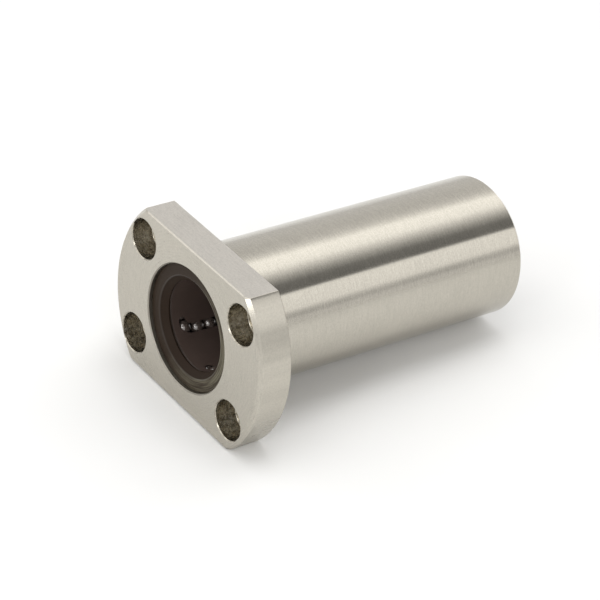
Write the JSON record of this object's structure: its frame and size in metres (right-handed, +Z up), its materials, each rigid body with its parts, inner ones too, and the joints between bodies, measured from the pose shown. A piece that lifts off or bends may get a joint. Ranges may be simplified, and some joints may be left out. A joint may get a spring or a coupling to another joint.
{
  "type": "linear ball bushing",
  "caption": "Long linear ball bushing with a flange cut flat on two sides, counterbored bolt holes, end seals and recirculating ball circuits round a shaft bore.",
  "frame": {"origin": "on the bushing's axis, in the flange's seating face (the face on the tube's side)", "axes": "+Y along the axis from the flange towards the tail, +X along the flange's flats, +Z up, across the flats"},
  "size_m": [0.054, 0.08, 0.038],
  "materials": {
    "ground_steel": "fine ground and turned, satin",
    "ball_steel": "polished",
    "seal_rubber": "matt",
    "retainer_plastic": "moulded, matt",
    "spacer_plastic": "moulded, matt",
    "sheet_steel": "pressed",
    "spring_steel": "oiled spring steel"
  },
  "bodies": {
    "housing": {"outer_cylinder": "ground_steel", "front_seal_lip": "seal_rubber", "front_seal_case": "sheet_steel", "front_retaining_ring": "spring_steel", "front_retainer": "retainer_plastic", "centre_spacer": "spacer_plastic", "rear_retainer": "retainer_plastic", "rear_retaining_ring": "spring_steel", "rear_seal_lip": "seal_rubber", "rear_seal_case": "sheet_steel"},
    "front_loaded_balls_1": {"front_loaded_balls_1": "ball_steel"},
    "front_return_balls_1": {"front_return_balls_1": "ball_steel"},
    "front_outer_turn_balls_1": {"front_outer_turn_balls_1": "ball_steel"},
    "front_inner_turn_balls_1": {"front_inner_turn_balls_1": "ball_steel"},
    "front_loaded_balls_2": {"front_loaded_balls_2": "ball_steel"},
    "front_return_balls_2": {"front_return_balls_2": "ball_steel"},
    "front_outer_turn_balls_2": {"front_outer_turn_balls_2": "ball_steel"},
    "front_inner_turn_balls_2": {"front_inner_turn_balls_2": "ball_steel"},
    "front_loaded_balls_3": {"front_loaded_balls_3": "ball_steel"},
    "front_return_balls_3": {"front_return_balls_3": "ball_steel"},
    "front_outer_turn_balls_3": {"front_outer_turn_balls_3": "ball_steel"},
    "front_inner_turn_balls_3": {"front_inner_turn_balls_3": "ball_steel"},
    "front_loaded_balls_4": {"front_loaded_balls_4": "ball_steel"},
    "front_return_balls_4": {"front_return_balls_4": "ball_steel"},
    "front_outer_turn_balls_4": {"front_outer_turn_balls_4": "ball_steel"},
    "front_inner_turn_balls_4": {"front_inner_turn_balls_4": "ball_steel"},
    "front_loaded_balls_5": {"front_loaded_balls_5": "ball_steel"},
    "front_return_balls_5": {"front_return_balls_5": "ball_steel"},
    "front_outer_turn_balls_5": {"front_outer_turn_balls_5": "ball_steel"},
    "front_inner_turn_balls_5": {"front_inner_turn_balls_5": "ball_steel"},
    "rear_loaded_balls_1": {"rear_loaded_balls_1": "ball_steel"},
    "rear_return_balls_1": {"rear_return_balls_1": "ball_steel"},
    "rear_outer_turn_balls_1": {"rear_outer_turn_balls_1": "ball_steel"},
    "rear_inner_turn_balls_1": {"rear_inner_turn_balls_1": "ball_steel"},
    "rear_loaded_balls_2": {"rear_loaded_balls_2": "ball_steel"},
    "rear_return_balls_2": {"rear_return_balls_2": "ball_steel"},
    "rear_outer_turn_balls_2": {"rear_outer_turn_balls_2": "ball_steel"},
    "rear_inner_turn_balls_2": {"rear_inner_turn_balls_2": "ball_steel"},
    "rear_loaded_balls_3": {"rear_loaded_balls_3": "ball_steel"},
    "rear_return_balls_3": {"rear_return_balls_3": "ball_steel"},
    "rear_outer_turn_balls_3": {"rear_outer_turn_balls_3": "ball_steel"},
    "rear_inner_turn_balls_3": {"rear_inner_turn_balls_3": "ball_steel"},
    "rear_loaded_balls_4": {"rear_loaded_balls_4": "ball_steel"},
    "rear_return_balls_4": {"rear_return_balls_4": "ball_steel"},
    "rear_outer_turn_balls_4": {"rear_outer_turn_balls_4": "ball_steel"},
    "rear_inner_turn_balls_4": {"rear_inner_turn_balls_4": "ball_steel"},
    "rear_loaded_balls_5": {"rear_loaded_balls_5": "ball_steel"},
    "rear_return_balls_5": {"rear_return_balls_5": "ball_steel"},
    "rear_outer_turn_balls_5": {"rear_outer_turn_balls_5": "ball_steel"},
    "rear_inner_turn_balls_5": {"rear_inner_turn_balls_5": "ball_steel"}
  },
  "joints": [
    {"name": "front_loaded_slide_1", "type": "slide", "parent": "housing", "child": "front_loaded_balls_1", "axis": [0, 1, 0], "range_m": [-0.0016, 0.0016]},
    {"name": "front_return_slide_1", "type": "slide", "parent": "housing", "child": "front_return_balls_1", "axis": [0, 1, 0], "range_m": [-0.0016, 0.0016]},
    {"name": "front_outer_turn_1", "type": "hinge", "parent": "housing", "child": "front_outer_turn_balls_1", "pos_m": [0.00245, 0.0001, -0.01155], "axis": [0.3907, 0, -0.9205], "range_deg": [-45, 45]},
    {"name": "front_inner_turn_1", "type": "hinge", "parent": "housing", "child": "front_inner_turn_balls_1", "pos_m": [0.00245, 0.0257, -0.01155], "axis": [0.3907, 0, -0.9205], "range_deg": [-45, 45]},
    {"name": "front_loaded_slide_2", "type": "slide", "parent": "housing", "child": "front_loaded_balls_2", "axis": [0, 1, 0], "range_m": [-0.0016, 0.0016]},
    {"name": "front_return_slide_2", "type": "slide", "parent": "housing", "child": "front_return_balls_2", "axis": [0, 1, 0], "range_m": [-0.0016, 0.0016]},
    {"name": "front_outer_turn_2", "type": "hinge", "parent": "housing", "child": "front_outer_turn_balls_2", "pos_m": [-0.01023, 0.0001, -0.0059], "axis": [-0.7547, 0, -0.6561], "range_deg": [-45, 45]},
    {"name": "front_inner_turn_2", "type": "hinge", "parent": "housing", "child": "front_inner_turn_balls_2", "pos_m": [-0.01023, 0.0257, -0.0059], "axis": [-0.7547, 0, -0.6561], "range_deg": [-45, 45]},
    {"name": "front_loaded_slide_3", "type": "slide", "parent": "housing", "child": "front_loaded_balls_3", "axis": [0, 1, 0], "range_m": [-0.0016, 0.0016]},
    {"name": "front_return_slide_3", "type": "slide", "parent": "housing", "child": "front_return_balls_3", "axis": [0, 1, 0], "range_m": [-0.0016, 0.0016]},
    {"name": "front_outer_turn_3", "type": "hinge", "parent": "housing", "child": "front_outer_turn_balls_3", "pos_m": [-0.00877, 0.0001, 0.00791], "axis": [-0.8572, 0, 0.515], "range_deg": [-45, 45]},
    {"name": "front_inner_turn_3", "type": "hinge", "parent": "housing", "child": "front_inner_turn_balls_3", "pos_m": [-0.00877, 0.0257, 0.00791], "axis": [-0.8572, 0, 0.515], "range_deg": [-45, 45]},
    {"name": "front_loaded_slide_4", "type": "slide", "parent": "housing", "child": "front_loaded_balls_4", "axis": [0, 1, 0], "range_m": [-0.0016, 0.0016]},
    {"name": "front_return_slide_4", "type": "slide", "parent": "housing", "child": "front_return_balls_4", "axis": [0, 1, 0], "range_m": [-0.0016, 0.0016]},
    {"name": "front_outer_turn_4", "type": "hinge", "parent": "housing", "child": "front_outer_turn_balls_4", "pos_m": [0.00481, 0.0001, 0.01078], "axis": [0.225, 0, 0.9744], "range_deg": [-45, 45]},
    {"name": "front_inner_turn_4", "type": "hinge", "parent": "housing", "child": "front_inner_turn_balls_4", "pos_m": [0.00481, 0.0257, 0.01078], "axis": [0.225, 0, 0.9744], "range_deg": [-45, 45]},
    {"name": "front_loaded_slide_5", "type": "slide", "parent": "housing", "child": "front_loaded_balls_5", "axis": [0, 1, 0], "range_m": [-0.0016, 0.0016]},
    {"name": "front_return_slide_5", "type": "slide", "parent": "housing", "child": "front_return_balls_5", "axis": [0, 1, 0], "range_m": [-0.0016, 0.0016]},
    {"name": "front_outer_turn_5", "type": "hinge", "parent": "housing", "child": "front_outer_turn_balls_5", "pos_m": [0.01174, 0.0001, -0.00124], "axis": [0.9962, 0, 0.0872], "range_deg": [-45, 45]},
    {"name": "front_inner_turn_5", "type": "hinge", "parent": "housing", "child": "front_inner_turn_balls_5", "pos_m": [0.01174, 0.0257, -0.00124], "axis": [0.9962, 0, 0.0872], "range_deg": [-45, 45]},
    {"name": "rear_loaded_slide_1", "type": "slide", "parent": "housing", "child": "rear_loaded_balls_1", "axis": [0, -1, 0], "range_m": [-0.0016, 0.0016]},
    {"name": "rear_return_slide_1", "type": "slide", "parent": "housing", "child": "rear_return_balls_1", "axis": [0, -1, 0], "range_m": [-0.0016, 0.0016]},
    {"name": "rear_outer_turn_1", "type": "hinge", "parent": "housing", "child": "rear_outer_turn_balls_1", "pos_m": [0.00661, 0.0639, -0.00978], "axis": [0.3907, 0, -0.9205], "range_deg": [-45, 45]},
    {"name": "rear_inner_turn_1", "type": "hinge", "parent": "housing", "child": "rear_inner_turn_balls_1", "pos_m": [0.00661, 0.0383, -0.00978], "axis": [0.3907, 0, -0.9205], "range_deg": [-45, 45]},
    {"name": "rear_loaded_slide_2", "type": "slide", "parent": "housing", "child": "rear_loaded_balls_2", "axis": [0, -1, 0], "range_m": [-0.0016, 0.0016]},
    {"name": "rear_return_slide_2", "type": "slide", "parent": "housing", "child": "rear_return_balls_2", "axis": [0, -1, 0], "range_m": [-0.0016, 0.0016]},
    {"name": "rear_outer_turn_2", "type": "hinge", "parent": "housing", "child": "rear_outer_turn_balls_2", "pos_m": [-0.00726, 0.0639, -0.00931], "axis": [-0.7547, 0, -0.6561], "range_deg": [-45, 45]},
    {"name": "rear_inner_turn_2", "type": "hinge", "parent": "housing", "child": "rear_inner_turn_balls_2", "pos_m": [-0.00726, 0.0383, -0.00931], "axis": [-0.7547, 0, -0.6561], "range_deg": [-45, 45]},
    {"name": "rear_loaded_slide_3", "type": "slide", "parent": "housing", "child": "rear_loaded_balls_3", "axis": [0, -1, 0], "range_m": [-0.0016, 0.0016]},
    {"name": "rear_return_slide_3", "type": "slide", "parent": "housing", "child": "rear_return_balls_3", "axis": [0, -1, 0], "range_m": [-0.0016, 0.0016]},
    {"name": "rear_outer_turn_3", "type": "hinge", "parent": "housing", "child": "rear_outer_turn_balls_3", "pos_m": [-0.0111, 0.0639, 0.00403], "axis": [-0.8572, 0, 0.515], "range_deg": [-45, 45]},
    {"name": "rear_inner_turn_3", "type": "hinge", "parent": "housing", "child": "rear_inner_turn_balls_3", "pos_m": [-0.0111, 0.0383, 0.00403], "axis": [-0.8572, 0, 0.515], "range_deg": [-45, 45]},
    {"name": "rear_loaded_slide_4", "type": "slide", "parent": "housing", "child": "rear_loaded_balls_4", "axis": [0, -1, 0], "range_m": [-0.0016, 0.0016]},
    {"name": "rear_return_slide_4", "type": "slide", "parent": "housing", "child": "rear_return_balls_4", "axis": [0, -1, 0], "range_m": [-0.0016, 0.0016]},
    {"name": "rear_outer_turn_4", "type": "hinge", "parent": "housing", "child": "rear_outer_turn_balls_4", "pos_m": [0.0004, 0.0639, 0.0118], "axis": [0.225, 0, 0.9744], "range_deg": [-45, 45]},
    {"name": "rear_inner_turn_4", "type": "hinge", "parent": "housing", "child": "rear_inner_turn_balls_4", "pos_m": [0.0004, 0.0383, 0.0118], "axis": [0.225, 0, 0.9744], "range_deg": [-45, 45]},
    {"name": "rear_loaded_slide_5", "type": "slide", "parent": "housing", "child": "rear_loaded_balls_5", "axis": [0, -1, 0], "range_m": [-0.0016, 0.0016]},
    {"name": "rear_return_slide_5", "type": "slide", "parent": "housing", "child": "rear_return_balls_5", "axis": [0, -1, 0], "range_m": [-0.0016, 0.0016]},
    {"name": "rear_outer_turn_5", "type": "hinge", "parent": "housing", "child": "rear_outer_turn_balls_5", "pos_m": [0.01135, 0.0639, 0.00326], "axis": [0.9962, 0, 0.0872], "range_deg": [-45, 45]},
    {"name": "rear_inner_turn_5", "type": "hinge", "parent": "housing", "child": "rear_inner_turn_balls_5", "pos_m": [0.01135, 0.0383, 0.00326], "axis": [0.9962, 0, 0.0872], "range_deg": [-45, 45]}
  ],
  "couplings": [
    {"joint": "front_return_slide_1", "follows": "front_loaded_slide_1", "ratio": -1},
    {"joint": "front_outer_turn_1", "follows": "front_loaded_slide_1", "rad_per_m": -490.87},
    {"joint": "front_inner_turn_1", "follows": "front_loaded_slide_1", "rad_per_m": -490.87},
    {"joint": "front_return_slide_2", "follows": "front_loaded_slide_2", "ratio": -1},
    {"joint": "front_outer_turn_2", "follows": "front_loaded_slide_2", "rad_per_m": -490.87},
    {"joint": "front_inner_turn_2", "follows": "front_loaded_slide_2", "rad_per_m": -490.87},
    {"joint": "front_return_slide_3", "follows": "front_loaded_slide_3", "ratio": -1},
    {"joint": "front_outer_turn_3", "follows": "front_loaded_slide_3", "rad_per_m": -490.87},
    {"joint": "front_inner_turn_3", "follows": "front_loaded_slide_3", "rad_per_m": -490.87},
    {"joint": "front_return_slide_4", "follows": "front_loaded_slide_4", "ratio": -1},
    {"joint": "front_outer_turn_4", "follows": "front_loaded_slide_4", "rad_per_m": -490.87},
    {"joint": "front_inner_turn_4", "follows": "front_loaded_slide_4", "rad_per_m": -490.87},
    {"joint": "front_return_slide_5", "follows": "front_loaded_slide_5", "ratio": -1},
    {"joint": "front_outer_turn_5", "follows": "front_loaded_slide_5", "rad_per_m": -490.87},
    {"joint": "front_inner_turn_5", "follows": "front_loaded_slide_5", "rad_per_m": -490.87},
    {"joint": "rear_return_slide_1", "follows": "rear_loaded_slide_1", "ratio": -1},
    {"joint": "rear_outer_turn_1", "follows": "rear_loaded_slide_1", "rad_per_m": -490.87},
    {"joint": "rear_inner_turn_1", "follows": "rear_loaded_slide_1", "rad_per_m": -490.87},
    {"joint": "rear_return_slide_2", "follows": "rear_loaded_slide_2", "ratio": -1},
    {"joint": "rear_outer_turn_2", "follows": "rear_loaded_slide_2", "rad_per_m": -490.87},
    {"joint": "rear_inner_turn_2", "follows": "rear_loaded_slide_2", "rad_per_m": -490.87},
    {"joint": "rear_return_slide_3", "follows": "rear_loaded_slide_3", "ratio": -1},
    {"joint": "rear_outer_turn_3", "follows": "rear_loaded_slide_3", "rad_per_m": -490.87},
    {"joint": "rear_inner_turn_3", "follows": "rear_loaded_slide_3", "rad_per_m": -490.87},
    {"joint": "rear_return_slide_4", "follows": "rear_loaded_slide_4", "ratio": -1},
    {"joint": "rear_outer_turn_4", "follows": "rear_loaded_slide_4", "rad_per_m": -490.87},
    {"joint": "rear_inner_turn_4", "follows": "rear_loaded_slide_4", "rad_per_m": -490.87},
    {"joint": "rear_return_slide_5", "follows": "rear_loaded_slide_5", "ratio": -1},
    {"joint": "rear_outer_turn_5", "follows": "rear_loaded_slide_5", "rad_per_m": -490.87},
    {"joint": "rear_inner_turn_5", "follows": "rear_loaded_slide_5", "rad_per_m": -490.87}
  ]
}
